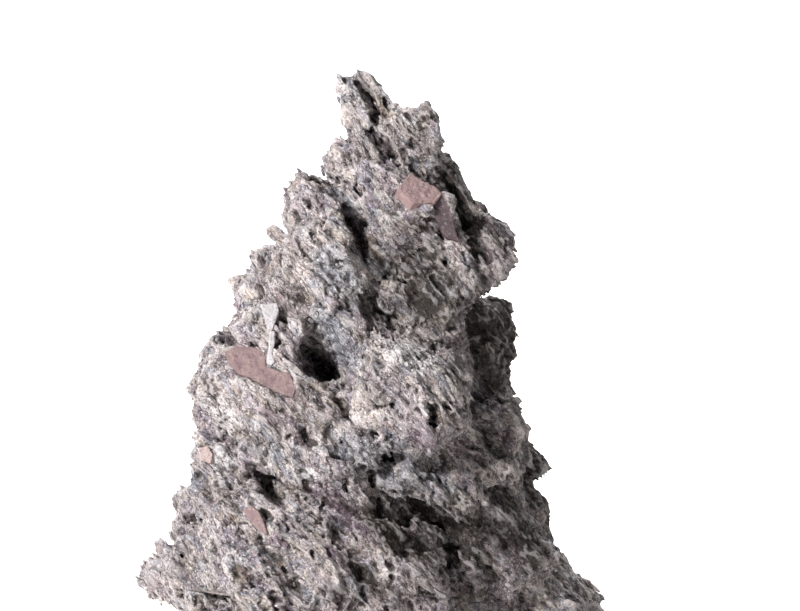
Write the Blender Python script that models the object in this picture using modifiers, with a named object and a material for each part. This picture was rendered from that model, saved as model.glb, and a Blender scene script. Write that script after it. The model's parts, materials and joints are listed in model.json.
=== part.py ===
"""An aquascaping rock: one craggy, pointed stone that stands on a flat broken base.

Metres, +Z up. The origin is on the base, below the summit; +X is to the right and +Y to the back, as the
stone is seen from its bright front. Run it with: blender --background --python part.py
"""

import math
import random

import bmesh
import bpy
from mathutils import Euler, Matrix, Vector
from mathutils.bvhtree import BVHTree

MM = 0.001

# The stone leans on its grain: every crag is a block whose long side runs down to the right.
# Each row is a name, the block's centre (x, y, z), its half sizes (along the grain, front to back, across the
# grain) and the angle of the grain below the horizon, in millimetres and degrees.
CRAGS = (
    ("summit horn", (-6.0, -1, 167.5), (14, 8, 6.8), 75),
    ("summit cap", (-0.6, 2, 175.8), (7.5, 6.5, 4.8), 36),
    ("summit, below cap", (3.5, 3, 169.5), (8.5, 6.5, 5.8), 55),
    ("summit plate", (12, 0, 160.5), (13, 9, 7.5), 60),
    ("summit web", (3, 5, 162), (10, 5.5, 8), 55),
    ("shoulder knob", (18.6, 0, 161.0), (10.5, 9, 6.4), 78),
    ("shoulder, lower", (19.5, 1, 153), (8, 8, 4.5), 70),
    ("neck", (4, 0, 145), (20, 13, 15), 50),
    ("first stair", (-8.5, -2, 152), (10.5, 9, 6.5), 70),
    ("first stair, tip", (-9.5, -2, 159.5), (6, 6, 4.5), 20),
    ("first stair, foot", (-13.0, -2, 149), (7.5, 7.5, 6), 60),
    ("first stair, back", (-12, 5, 147), (6, 7, 4.6), 60),
    ("neck flake", (-2.5, -9, 153), (8, 4, 3.5), 55),
    ("neck flake, low", (2.5, -12, 144), (9, 5, 4), 50),
    ("second stair", (-18, -5, 135), (14, 13, 10), 60),
    ("second stair, edge", (-23.5, -3, 132), (9, 9.5, 6), 65),
    ("second stair, tip", (-19.0, -4, 142.5), (9, 8, 6.2), 20),
    ("stair web", (-9, 4, 138), (13, 8, 10), 55),
    ("left face", (-14.5, -11, 120), (18, 17, 15), 55),
    ("left face, crown", (-17, -17, 129), (9, 9, 7), 50),
    ("left face, low", (-11, -19, 112), (10, 8, 8), 50),
    ("third stair", (-32.5, -4, 107), (14, 14, 13), 60),
    ("third stair, tip", (-31.5, -2, 120.5), (9.5, 8, 6.5), 15),
    ("third stair, face", (-29, -14, 108), (9, 7, 7), 55),
    ("pink shelf", (13, -4, 139), (14, 12, 9), 50),
    ("pink shelf, low", (12, -12, 129), (11, 8, 7), 35),
    ("nose rim, high", (25.0, 5, 145.5), (12.5, 7, 5.0), 54),
    ("nose rim, low", (38, 4, 130), (11, 8, 7), 50),
    ("nose", (36, 0, 121), (12, 11, 10), 60),
    ("nose web", (27, 9, 132), (16, 8, 10), 55),
    ("nose, underside", (30.5, -3, 114), (11, 10, 6.5), 20),
    ("dark face", (12, -6, 115), (22, 15, 16), 50),
    ("wedge", (21, -9, 108), (15, 13, 10), 48),
    ("wedge lip", (24, -17, 112), (10, 5, 4), 40),
    ("quartz rib", (-33, -13, 98), (13, 13, 11), 60),
    ("cave roof", (-8, -15, 102), (16, 13, 10), 45),
    ("cave wall, left", (-30, -22, 88), (11, 9, 6), 50),
    ("bulge", (10, -24, 80), (23, 21, 18), 40),
    ("bulge, crown", (5.5, -33, 90), (10, 9, 6), 42),
    ("bulge, right", (25, -20, 83), (13, 13, 8), 70),
    ("bulge, knuckle", (17, -38, 74), (9, 7, 6), 45),
    ("left shoulder", (-39.5, -12, 79), (19, 19, 17), 50),
    ("left shoulder, step", (-43.5, -6, 97), (7, 8, 6.5), 30),
    ("left shoulder, tip", (-47.0, -6, 88.5), (10, 11, 8), 20),
    ("left waist", (-24, -24, 70), (22, 16, 13), 40),
    ("left waist, edge", (-47.0, -8, 67), (14, 14, 10), 65),
    ("right step", (36, -2, 66), (15, 16, 14), 55),
    ("right waist", (30, -10, 56), (17, 18, 14), 35),
    ("gap, back wall", (33, 14, 94), (18, 12, 10), 75),
    ("back ridge, top", (41.0, 26, 98), (11.5, 10, 8), 60),
    ("back ridge, neck", (39.5, 22, 83), (12, 12, 7), 65),
    ("back ridge, spur", (44.5, 22, 88), (6, 6, 4), 10),
    ("back ridge, middle", (39.5, 18, 69), (16, 14, 10), 68),
    ("hook", (52, 25, 51.5), (10.5, 9, 6.5), 50),
    ("back ridge, low", (47, 21, 33), (17, 17, 12), 60),
    ("back foot", (57.5, 25, 7), (19, 19, 14), 50),
    ("right mass", (37, -2, 29), (22, 20, 17), 50),
    ("right mass, crown", (35, -16, 40), (11, 9, 8), 50),
    ("right foot", (50, 5, 8), (18, 20, 12), 30),
    ("boss", (-4.5, -34, 54.5), (8, 9, 6), 70),
    ("waist, low", (-15, -31, 61), (14, 13, 9), 40),
    ("under bulge", (12, -24, 52), (20, 15, 9), 20),
    ("lower left", (-41, -25, 44), (20, 16, 12), 50),
    ("left step", (-52.5, -14, 40), (14, 15, 9), 60),
    ("left waist, tip", (-51, -8, 57.5), (7.5, 9, 6), 30),
    ("left lobe, crown", (-58.5, -14, 35), (8, 10, 6.5), 55),
    ("left lobe", (-60.0, -16, 21.5), (13.5, 15, 10.5), 35),
    ("left foot", (-51, -20, 25), (19, 18, 13), 55),
    ("apron", (-21, -32, 30), (34, 22, 19), 40),
    ("apron, ledge", (-2, -43, 44), (15, 8, 4.5), 30),
    ("apron, right", (8, -31, 26), (24, 20, 15), 45),
    ("apron foot", (-17, -36, 6), (38, 24, 12), 12),
    ("core, low", (2, 4, 38), (46, 34, 42), 20),
    ("core, middle", (0, 2, 84), (36, 22, 34), 70),
    ("core, high", (4, 3, 132), (24, 10, 12), 80),
    ("back, left buttress", (-24, 26, 30), (32, 19, 20), 50),
    ("back, right buttress", (16, 30, 42), (34, 18, 18), 65),
    ("back, left shoulder", (-30, 14, 66), (20, 16, 14), 45),
    ("back, upper", (-3, 16, 96), (26, 14, 16), 55),
    ("back, neck", (14, 10, 124), (18, 10, 11), 60),
)

# What has broken or weathered out, in the same form. A hollow's centre lies near the face that it opens in.
HOLLOWS = (
    ("cave", (-15.0, -31, 90), (12, 20, 4.2), 42),
    ("cave mouth", (-11.5, -42, 96), (13, 12, 7), 42),
    ("left slit", (-3.5, -27, 127), (10, 14, 2.8), 58),
    ("left slit, low", (4.5, -24, 119), (7, 12, 3.2), 65),
    ("neck slit", (-5, -14, 136), (6, 8, 1.6), 40),
    ("summit groove, high", (-1, -9, 168), (7, 5, 1.7), 60),
    ("summit groove, middle", (-1.0, -11, 160), (6, 6, 1.8), 110),
    ("summit groove, low", (4, -12, 155), (8.5, 8, 2.4), 45),
    ("below the plate", (15, -10, 149), (9, 7, 2.6), 35),
    ("nose hollow", (27, -9, 139), (13, 9, 3.8), 58),
    ("nose hollow, low", (32, -11, 126.5), (9, 9, 4.6), 55),
    ("dark face, eaves", (16, -23, 122), (11, 9, 3.2), 15),
    ("dark face slit", (13, -20, 112), (9, 9, 1.8), 55),
    ("wedge slit", (4, -30, 104), (9, 12, 3), 55),
    ("wedge slit, low", (13, -32, 98), (8, 10, 2.6), 10),
    ("side gap", (33.5, -15, 92), (18, 14, 3.6), 78),
    ("side gap, low", (34, -19, 73), (12, 12, 2.6), 70),
    ("lower left slit", (-30, -45, 56), (10.5, 18, 4.4), 42),
    ("lower ledge", (-15, -46, 49), (13, 10, 2.6), 8),
    ("bulge hollow", (9.5, -40, 46), (8, 13, 3.6), 20),
    ("apron crevice", (22, -32, 40), (15, 16, 4), 42),
    ("apron crevice, low", (27, -32, 20), (14, 16, 3.6), 75),
    ("bulge pit", (18.5, -45, 76.5), (4.5, 8, 2.6), 70),
    ("waist pit", (-19.5, -42, 69.5), (5, 9, 2.4), 30),
    ("boss slit", (0.5, -46, 56), (7, 9, 2.2), 75),
    ("first stair notch", (-10, -6, 159.5), (4, 9, 2.2), 20),
    ("second stair notch", (-12, -4, 146.0), (5, 10, 2.2), 20),
    ("third stair notch", (-25, -10, 128), (5, 10, 2.0), 60),
    ("shoulder notch", (-46.5, -14, 97), (5, 10, 2.0), 30),
    ("left step notch", (-52, -18, 50.5), (5.5, 12, 2.6), 40),
    ("left lobe notch", (-63, -18, 33), (5, 12, 2.2), 50),
    ("hook notch", (60, 25, 43.5), (7, 15, 3), 15),
    ("nose notch", (40, -2, 109), (8, 16, 2.4), 160),
    ("right ledge notch", (43, -14, 46), (10, 10, 2.6), 35),
    ("apron flute, high", (-26, -54, 30), (14, 8, 2.4), 52),
    ("apron flute, low", (-8, -58, 17), (13, 9, 2.4), 50),
)

BLOCK_POWER = 2.8  # 2 is an ellipsoid and larger is boxier
SUMMIT_HEIGHT = 175 * MM

# Angular chips stand out of the blocks. Their half sizes are the least and the most in millimetres, along the
# grain, front to back and across the grain.
CHIP_COUNT = 520
CHIP_SEED = 15
CHIP_HALF_SIZES = ((5, 9.5), (3.5, 6), (2.6, 4.6))
CHIP_SUMMIT_SIZE = 0.5  # of the size of the chips at the foot
CHIP_SHAKE_DEG = 14
CHIP_BREAKAGE = 0.22  # how far a chip's corners may move, of their distance from its centre
CHIP_STANDS_OUT = 2.0  # millimetres that every block shrinks, so that the chips reach its stated size
OUTSIDE = 150 * MM  # farther out than any of the stone

CRAG_VOXEL = 1.5 * MM
CHIP_VOXEL = 1.18 * MM
SLIT_VOXEL = 0.8 * MM

GRAIN_ANGLE = math.radians(48)
GRAIN_STRETCH = 1.9  # how much longer a chip is along the grain than across it
BLOCK_CHIP = 13 * MM
BLOCK_RELIEF = 5.0 * MM
BLOCK_LEVEL = 0.27  # the mean of the texture, so that the stone keeps its size
LEDGE_CHIP = 6 * MM
LEDGE_RELIEF = 3.0 * MM
SLIT_RELIEF = 4.0 * MM
SLIT_LEVEL = 0.4
TRIANGLES_KEPT = 0.056
ON_PLANE = 0.02 * MM


def clear_scene():
    for obj in list(bpy.data.objects):
        bpy.data.objects.remove(obj)


def add_block(bm, centre, half_sizes, grain_deg, grow=0.0):
    """A rounded block in bm, with its long side down the grain."""
    made = bmesh.ops.create_icosphere(bm, subdivisions=3, radius=1.0)
    turn = Matrix.Rotation(math.radians(grain_deg), 4, "Y")
    size = Matrix.Diagonal([(half + grow) * MM for half in half_sizes] + [1.0])
    place = Matrix.Translation(Vector(centre) * MM) @ turn @ size
    for vert in made["verts"]:
        power_sum = sum(abs(c) ** BLOCK_POWER for c in vert.co)
        vert.co = place @ (vert.co / power_sum ** (1 / BLOCK_POWER))


def add_chips(bm):
    """Angular chips half sunk in the stone's skin, with their long sides near the grain."""
    rng = random.Random(CHIP_SEED)
    skin = BVHTree.FromBMesh(bm)
    for _ in range(CHIP_COUNT):
        height = SUMMIT_HEIGHT * (1 - math.sqrt(rng.random()))
        bearing = rng.uniform(0, 2 * math.pi)
        inward = Vector((-math.cos(bearing), -math.sin(bearing), 0))
        start = Vector((0, 0, height)) - inward * OUTSIDE
        hit = skin.ray_cast(start, inward)[0]
        shrink = 1 - (1 - CHIP_SUMMIT_SIZE) * height / SUMMIT_HEIGHT
        half = [rng.uniform(low, high) * shrink * MM for low, high in CHIP_HALF_SIZES]
        shake = [math.radians(rng.gauss(0, CHIP_SHAKE_DEG)) for _ in range(3)]
        if hit is None:
            continue
        turn = Matrix.Rotation(GRAIN_ANGLE, 4, "Y") @ Euler(shake).to_matrix().to_4x4()
        place = Matrix.Translation(hit) @ turn @ Matrix.Diagonal(half + [1.0])
        made = bmesh.ops.create_icosphere(bm, subdivisions=1, radius=1.0, matrix=place)
        for vert in made["verts"]:
            vert.co += (vert.co - hit) * rng.uniform(-CHIP_BREAKAGE, CHIP_BREAKAGE)


def block_heap(name, rows, collection, grow=0.0, chipped=False):
    """One object that holds every block of rows."""
    bm = bmesh.new()
    for _, centre, half_sizes, grain_deg in rows:
        add_block(bm, centre, half_sizes, grain_deg, grow)
    if chipped:
        add_chips(bm)
    mesh = bpy.data.meshes.new(name)
    bm.to_mesh(mesh)
    bm.free()
    obj = bpy.data.objects.new(name, mesh)
    collection.objects.link(obj)
    return obj


def fuse(obj, voxel):
    """Joins overlapping blocks in one closed skin."""
    remesh = obj.modifiers.new("fuse", "REMESH")
    remesh.mode = "VOXEL"
    remesh.voxel_size = voxel


def grain_space(collection):
    """An empty whose axes follow the grain, so that a texture read in it is stretched along the grain."""
    grain = bpy.data.objects.new("grain", None)
    grain.matrix_world = Matrix.Rotation(GRAIN_ANGLE, 4, "Y") @ Matrix.Diagonal((GRAIN_STRETCH, 1.0, 1.0, 1.0))
    collection.objects.link(grain)
    return grain


def displace(obj, name, texture, relief, space, level=0.5):
    push = obj.modifiers.new(name, "DISPLACE")
    push.texture = texture
    push.texture_coords = "OBJECT"
    push.texture_coords_object = space
    push.strength = relief
    push.mid_level = level


def broken_blocks():
    """Creased cells: angular blocks with a groove between each and the next."""
    texture = bpy.data.textures.new("broken blocks", "VORONOI")
    texture.distance_metric = "DISTANCE"
    texture.weight_1 = -1.0
    texture.weight_2 = 1.0
    texture.noise_scale = BLOCK_CHIP
    texture.noise_intensity = 1.2
    return texture


def ledges():
    texture = bpy.data.textures.new("ledges", "MUSGRAVE")
    texture.musgrave_type = "RIDGED_MULTIFRACTAL"
    texture.noise_scale = LEDGE_CHIP
    texture.octaves = 3
    texture.lacunarity = 2.2
    texture.noise_intensity = 0.6
    return texture


def cut_by(obj, cutter, operation):
    cut = obj.modifiers.new(cutter.name, "BOOLEAN")
    cut.operation = operation
    cut.object = cutter
    cut.solver = "EXACT"


def bodies_of(bm):
    """The vertices of bm, one set for each separate body."""
    unseen = set(bm.verts)
    bodies = []
    while unseen:
        body, front = set(), [unseen.pop()]
        while front:
            vert = front.pop()
            body.add(vert)
            near = {edge.other_vert(vert) for edge in vert.link_edges} & unseen
            unseen -= near
            front.extend(near)
        bodies.append(body)
    return bodies


def settle(obj):
    """Turns the modifiers' result into the object's own mesh, flat below and without cut-off crumbs."""
    result = obj.evaluated_get(bpy.context.evaluated_depsgraph_get())
    mesh = bpy.data.meshes.new_from_object(result)
    bm = bmesh.new()
    bm.from_mesh(mesh)
    everything = list(bm.verts) + list(bm.edges) + list(bm.faces)
    bmesh.ops.bisect_plane(bm, geom=everything, dist=ON_PLANE, plane_co=(0, 0, 0), plane_no=(0, 0, -1), clear_outer=True)
    bmesh.ops.holes_fill(bm, edges=[edge for edge in bm.edges if edge.is_boundary], sides=0)
    bodies = bodies_of(bm)
    main_body = max(bodies, key=len)
    crumbs = [vert for body in bodies if body is not main_body for vert in body]
    bmesh.ops.delete(bm, geom=crumbs, context="VERTS")
    bmesh.ops.triangulate(bm, faces=bm.faces)
    bmesh.ops.recalc_face_normals(bm, faces=bm.faces)
    bm.to_mesh(mesh)
    bm.free()
    obj.modifiers.clear()
    obj.data = mesh


def hide(obj):
    obj.hide_render = True
    obj.display_type = "WIRE"


def stone_material():
    material = bpy.data.materials.new("grey-mauve volcanic stone")
    material.use_nodes = True
    shader = material.node_tree.nodes["Principled BSDF"]
    shader.inputs["Base Color"].default_value = (0.33, 0.29, 0.28, 1.0)
    shader.inputs["Roughness"].default_value = 0.85
    shader.inputs["Metallic"].default_value = 0.0
    return material


def main():
    clear_scene()
    scene_root = bpy.context.scene.collection
    stone = bpy.data.collections.new("aquascaping rock")
    cutters = bpy.data.collections.new("cutters")
    scene_root.children.link(stone)
    scene_root.children.link(cutters)

    grain = grain_space(cutters)
    rock = block_heap("rock", CRAGS, stone, grow=-CHIP_STANDS_OUT, chipped=True)
    rock.data.materials.append(stone_material())
    hollows = block_heap("hollows", HOLLOWS, cutters)
    fuse(hollows, SLIT_VOXEL)
    displace(hollows, "broken edges", ledges(), SLIT_RELIEF, grain, SLIT_LEVEL)
    fuse(hollows, SLIT_VOXEL)
    hide(hollows)

    fuse(rock, CRAG_VOXEL)
    displace(rock, "broken blocks", broken_blocks(), BLOCK_RELIEF, grain, BLOCK_LEVEL)
    displace(rock, "ledges", ledges(), LEDGE_RELIEF, grain)
    fuse(rock, CHIP_VOXEL)
    cut_by(rock, hollows, "DIFFERENCE")
    fuse(rock, CHIP_VOXEL)
    thin = rock.modifiers.new("fewer faces", "DECIMATE")
    thin.ratio = TRIANGLES_KEPT
    settle(rock)


main()
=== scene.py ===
# %% [markdown]
# # An aquascaping rock, dressed
#
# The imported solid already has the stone's crags, ledges and hollows. This lesson gives it what the eye
# meets from close by: narrow slits, flakes that lie along the grain, grains that stand out of the matrix,
# smooth pink clasts, white crystals, and a dull, speckled, pitted finish. Everything stays in the solid's
# frame, in metres.

import contextlib
import json
import math
import random

import bpy
import numpy as np
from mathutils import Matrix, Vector

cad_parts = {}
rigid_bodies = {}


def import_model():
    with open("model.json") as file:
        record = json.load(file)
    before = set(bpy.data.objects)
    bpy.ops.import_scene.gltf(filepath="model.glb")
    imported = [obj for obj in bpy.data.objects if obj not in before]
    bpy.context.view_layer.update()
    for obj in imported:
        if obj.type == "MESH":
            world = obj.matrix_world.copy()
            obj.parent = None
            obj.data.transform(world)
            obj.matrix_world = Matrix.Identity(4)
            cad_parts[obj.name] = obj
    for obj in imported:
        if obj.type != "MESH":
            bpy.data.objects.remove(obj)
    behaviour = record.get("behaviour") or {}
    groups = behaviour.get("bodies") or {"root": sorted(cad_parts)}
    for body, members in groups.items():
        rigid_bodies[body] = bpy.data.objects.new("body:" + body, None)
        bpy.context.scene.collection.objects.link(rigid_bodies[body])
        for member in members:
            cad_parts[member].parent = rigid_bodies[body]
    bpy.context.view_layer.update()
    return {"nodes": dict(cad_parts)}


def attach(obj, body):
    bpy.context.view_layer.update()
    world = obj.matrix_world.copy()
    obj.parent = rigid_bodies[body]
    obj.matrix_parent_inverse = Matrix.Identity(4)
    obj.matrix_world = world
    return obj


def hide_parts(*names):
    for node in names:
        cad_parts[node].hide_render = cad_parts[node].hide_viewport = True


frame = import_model()
cad_rock = frame["nodes"]["rock"]
MM = 0.001

# %% [markdown]
# ## Small helpers
#
# Operators act on whatever is selected, so each step first selects only the object that it means. Colours
# are written as the hex values that a paint chip would have, and one function turns them to the linear
# values that the shader works in.

# %% Helpers
SCENE = bpy.context.scene


def select_only(obj):
    bpy.ops.object.select_all(action="DESELECT")
    obj.select_set(True)
    bpy.context.view_layer.objects.active = obj


@contextlib.contextmanager
def editing(obj):
    """Edit mode on obj, with its whole mesh selected."""
    select_only(obj)
    bpy.ops.object.mode_set(mode="EDIT")
    bpy.ops.mesh.select_all(action="SELECT")
    yield
    bpy.ops.object.mode_set(mode="OBJECT")


def apply_modifiers(obj):
    select_only(obj)
    for name in [modifier.name for modifier in obj.modifiers]:
        bpy.ops.object.modifier_apply(modifier=name)


def new_object(name, mesh):
    obj = bpy.data.objects.new(name, mesh)
    SCENE.collection.objects.link(obj)
    return obj


def delete(objects):
    for obj in objects:
        bpy.data.objects.remove(obj)


def linear(hex_colour):
    """(r, g, b, 1) in linear light for an sRGB hex value."""
    parts = [int(hex_colour[i:i + 2], 16) / 255 for i in (1, 3, 5)]
    return [c / 12.92 if c <= 0.04045 else ((c + 0.055) / 1.055) ** 2.4 for c in parts] + [1.0]


def triangles(obj):
    obj.data.calc_loop_triangles()
    return len(obj.data.loop_triangles)


def node(tree, kind, settings=None, links=None):
    """Adds a node. settings are its properties or its sockets' values, links are what feeds it."""
    made = tree.nodes.new(kind)
    for key, value in (settings or {}).items():
        if isinstance(key, str) and hasattr(made, key):
            setattr(made, key, value)
        else:
            made.inputs[key].default_value = value
    for key, source in (links or {}).items():
        tree.links.new(source, made.inputs[key])
    return made


# %% [markdown]
# ## The camera
#
# The photograph looks slightly down on the stone, through a longish lens. The camera comes first because the
# places of slits, fills, patches and clasts are given as pixels of that view: a ray through the pixel finds
# the spot on the stone, so that each one sits in its skin and not in front of it.

# %% Camera
PHOTO_WIDTH, PHOTO_HEIGHT = 800, 611
LENS_MM, SENSOR_MM = 105.0, 36.0
FOCAL_PX = LENS_MM / SENSOR_MM * PHOTO_WIDTH
CAMERA_DISTANCE = 740 * MM
CAMERA_DOWN = math.radians(5)
AIM = Vector((8.9, 0, 105.5)) * MM

toward_camera = Vector((0, -math.cos(CAMERA_DOWN), math.sin(CAMERA_DOWN)))
camera_up = Vector((0, math.sin(CAMERA_DOWN), math.cos(CAMERA_DOWN)))
camera_right = Vector((1, 0, 0))
eye = AIM + toward_camera * CAMERA_DISTANCE
bpy.ops.object.camera_add(location=eye, rotation=(math.pi / 2 - CAMERA_DOWN, 0, 0))
camera = bpy.context.object
camera.name = "photograph_view"
camera.data.lens = LENS_MM
camera.data.sensor_width = SENSOR_MM
camera.data.clip_start = 10 * MM
SCENE.camera = camera


def ray_through(pixel):
    """The direction from the eye through a pixel of the photograph."""
    right = (pixel[0] - PHOTO_WIDTH / 2) / FOCAL_PX
    up = (PHOTO_HEIGHT / 2 - pixel[1]) / FOCAL_PX
    return (camera_right * right + camera_up * up - toward_camera).normalized()


def pixels_of(places):
    """Where the camera sees the places, as columns x and y."""
    away = places - np.array(eye)
    depth = away @ -np.array(toward_camera)
    across = PHOTO_WIDTH / 2 + FOCAL_PX * (away @ np.array(camera_right)) / depth
    return across, PHOTO_HEIGHT / 2 - FOCAL_PX * (away @ np.array(camera_up)) / depth


STONE_MIDDLE = Vector((385, 400))
MOST_SHIFT_PX = 12
# What the rays meet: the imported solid, and later its copy with the fills.
aimed_at = cad_rock


def on_stone(pixel):
    """The point and the normal of the skin at a pixel, or at the nearest one inward that hits it."""
    inward = (STONE_MIDDLE - Vector(pixel)).normalized()
    for shift in range(MOST_SHIFT_PX):
        hit, point, normal, _ = aimed_at.ray_cast(eye, ray_through(Vector(pixel) + inward * shift))
        if hit:
            return point, normal
    raise ValueError(f"pixel {pixel} misses the stone")


print("a pixel is about", round(CAMERA_DISTANCE / MM / FOCAL_PX, 3), "mm on the stone")

# %% [markdown]
# ## The slits
#
# The stone has split along its grain. The wide hollows are in the solid; the narrow slits between the crags
# are cut before the skin is roughened. Each is a wedge along a line of pixels that closes with depth. The
# roughening closes it again in part, so a wedge is made wider and deeper than the slit in the list. The
# wedges are cut while the mesh still has few faces, because an exact Boolean on half a million of them takes
# minutes.

# %% Slit wedges
# name: (pixels along it, half width in mm, depth in mm)
SLITS = {
    "summit, left of the plate": (
        [(355, 81), (365, 92), (372, 100), (376, 111), (375, 122), (368, 128), (371, 135)], 1.0, 4.5),
    "summit, below the plate": (
        [(368, 131), (379, 139), (387, 146), (393, 155), (402, 166)], 1.3, 5.0),
    "summit, right of the plate": ([(377, 95), (387, 101), (393, 110), (402, 117)], 0.7, 2.5),
    "cave, deep part": ([(301, 345), (315, 359), (329, 374), (344, 388)], 2.9, 10.0),
    "left shoulder": ([(340, 132), (347, 137), (355, 146)], 0.7, 4.0),
    "left notch": ([(310, 179), (322, 182), (335, 184)], 0.9, 4.0),
    "above the long slit": ([(354, 178), (356, 188), (362, 197)], 0.8, 3.5),
    "long slit": ([(337, 208), (347, 221), (357, 231), (362, 245), (366, 262)], 1.6, 7.0),
    "over the dark face": ([(438, 166), (449, 184), (461, 203), (470, 216)], 1.6, 5.0),
    "dark face, top": ([(368, 272), (376, 281), (384, 287)], 0.6, 3.0),
    "dark face, middle": ([(398, 270), (401, 281), (412, 288), (426, 301)], 0.7, 3.5),
    "dark face, right": ([(438, 254), (446, 262), (452, 274)], 0.6, 3.0),
    "dark face, upper": ([(407, 258), (414, 268), (418, 284)], 0.5, 2.5),
    "dark face, long": ([(424, 268), (437, 283), (450, 298)], 0.55, 3.0),
    "dark face, low": ([(418, 306), (431, 318), (441, 331)], 0.55, 3.0),
    "dark face, corner": ([(456, 284), (464, 299), (469, 313)], 0.6, 3.0),
    "curved slit": ([(372, 296), (377, 311), (389, 318), (396, 330), (410, 334)], 1.2, 5.0),
    "below the curved slit": ([(376, 331), (386, 338), (400, 341)], 0.6, 3.0),
    "right of the cave": ([(372, 355), (380, 362), (386, 371)], 0.7, 3.0),
    "left bulge": ([(272, 421), (282, 428), (287, 438)], 0.6, 3.0),
    "middle": ([(337, 430), (341, 437), (340, 445)], 0.6, 3.0),
    "middle bulge, ring": ([(366, 413), (378, 408), (392, 404), (404, 417)], 0.6, 2.5),
    "right of the pit": ([(444, 399), (450, 414), (457, 428)], 0.8, 4.0),
    "crescent": ([(350, 467), (345, 478), (347, 492), (356, 507)], 0.8, 3.5),
    "upright pit": ([(370, 468), (372, 478), (373, 488)], 1.1, 5.0),
    "under the grey mass": ([(434, 474), (443, 484), (452, 495)], 1.1, 4.0),
    "lower left slit": ([(236, 452), (246, 462), (256, 471), (268, 482), (277, 491)], 1.3, 6.0),
    "lower left slit, wide end": ([(262, 478), (270, 485), (278, 491), (286, 498)], 1.6, 6.0),
    "round hollow": ([(397, 508), (403, 514), (410, 519), (416, 523)], 2.6, 5.0),
    "under the ledge": ([(424, 515), (436, 524), (446, 533)], 1.6, 5.0),
    "beside the small clast": ([(260, 508), (267, 515), (273, 524)], 1.0, 3.0),
    "apron, below the ledge": ([(327, 517), (334, 527), (341, 539)], 0.5, 2.5),
    "apron, long crack": ([(394, 535), (415, 551), (437, 566)], 0.6, 3.0),
    "apron, red pit": ([(272, 565), (284, 571), (298, 580)], 1.0, 3.0),
    "apron, above the pit": ([(285, 552), (291, 561), (300, 571)], 0.6, 2.5),
    "apron, low crack": ([(300, 588), (318, 597), (336, 608)], 0.8, 3.0),
    "apron, left": ([(213, 534), (218, 545), (222, 557)], 0.7, 3.0),
    "apron, middle": ([(309, 543), (313, 555), (319, 567)], 0.6, 2.5),
    "apron, dark valley": ([(348, 561), (362, 573), (379, 587)], 1.7, 4.5),
    "apron, dark valley, low": ([(329, 588), (340, 599), (352, 611)], 1.4, 4.5),
    "apron, far left": ([(176, 548), (183, 557), (189, 569)], 0.6, 2.5),
    "apron, upper": ([(227, 505), (236, 517), (243, 531)], 0.6, 2.5),
    "apron, right": ([(378, 556), (390, 566), (398, 575)], 0.6, 3.0),
    "lower right": ([(437, 536), (450, 546), (458, 560)], 1.1, 5.0),
}
WIDER, DEEPER = 1.45, 1.3
IN_FRONT_MM = 6.0
# The wedge's half width at its mouth and at its waist, how deep the waist lies, and how much is left of
# width and depth at both ends, all as shares.
AT_MOUTH, AT_WAIST, WAIST_DEPTH, AT_END = 1.3, 0.6, 0.6, 0.35
FINE_VOXEL = 0.3 * MM


def make_wedge(name, pixels, half_width, depth):
    """A wedge along a line of pixels: its mouth is in front of the skin, its edge is depth below it."""
    reach = float(np.median([(on_stone(pixel)[0] - eye).length for pixel in pixels]))
    rings = []
    for index, pixel in enumerate(pixels):
        before = Vector(pixels[max(index - 1, 0)])
        after = Vector(pixels[min(index + 1, len(pixels) - 1)])
        along = (after - before).normalized()
        across = camera_right * -along.y - camera_up * along.x
        ray = ray_through(pixel)
        local = (on_stone(pixel)[0] - eye).length
        skin = min(local, reach + depth / 2 * MM)
        end = AT_END if index in (0, len(pixels) - 1) else 1.0
        wide = across * (WIDER * half_width) * end * MM
        mouth = eye + ray * (skin - IN_FRONT_MM * MM)
        bottom = eye + ray * (skin + depth * end * MM)
        waist = eye + ray * (skin + WAIST_DEPTH * depth * end * MM)
        rings.append([
            mouth - wide * AT_MOUTH, mouth + wide * AT_MOUTH, waist + wide * AT_WAIST, bottom,
            waist - wide * AT_WAIST,
        ])
    sides = len(rings[0])
    corners = [corner for ring in rings for corner in ring]
    faces = [list(range(sides)), [len(corners) - 1 - side for side in range(sides)]]
    for ring in range(len(rings) - 1):
        for side in range(sides):
            a, b = ring * sides + side, ring * sides + (side + 1) % sides
            faces.append([a, a + sides, b + sides, b])
    mesh = bpy.data.meshes.new(name)
    mesh.from_pydata(corners, [], faces)
    wedge = new_object(name, mesh)
    with editing(wedge):
        bpy.ops.mesh.normals_make_consistent(inside=False)
    return wedge


def fuse(obj, voxel):
    remesh = obj.modifiers.new("fuse", "REMESH")
    remesh.mode = "VOXEL"
    remesh.voxel_size = voxel


def join(objects):
    bpy.ops.object.select_all(action="DESELECT")
    for obj in objects:
        obj.select_set(True)
    bpy.context.view_layer.objects.active = objects[0]
    bpy.ops.object.join()
    return bpy.context.object


slits = join([
    make_wedge(name, pixels, half_width, DEEPER * depth)
    for name, (pixels, half_width, depth) in SLITS.items()
])
fuse(slits, FINE_VOXEL)
apply_modifiers(slits)
print(len(SLITS), "slits, with", triangles(slits), "triangles in their wedges")

# %% [markdown]
# ## Fills
#
# In a few places the solid's hollows are wider than the stone's. Rows of small balls, sunk in the skin,
# narrow them; the fuse that follows makes them one with the matrix.

# %% Fills
BALL_EVERY_PX = 7
BALL_SIZES = (0.85, 1.1)
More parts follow.
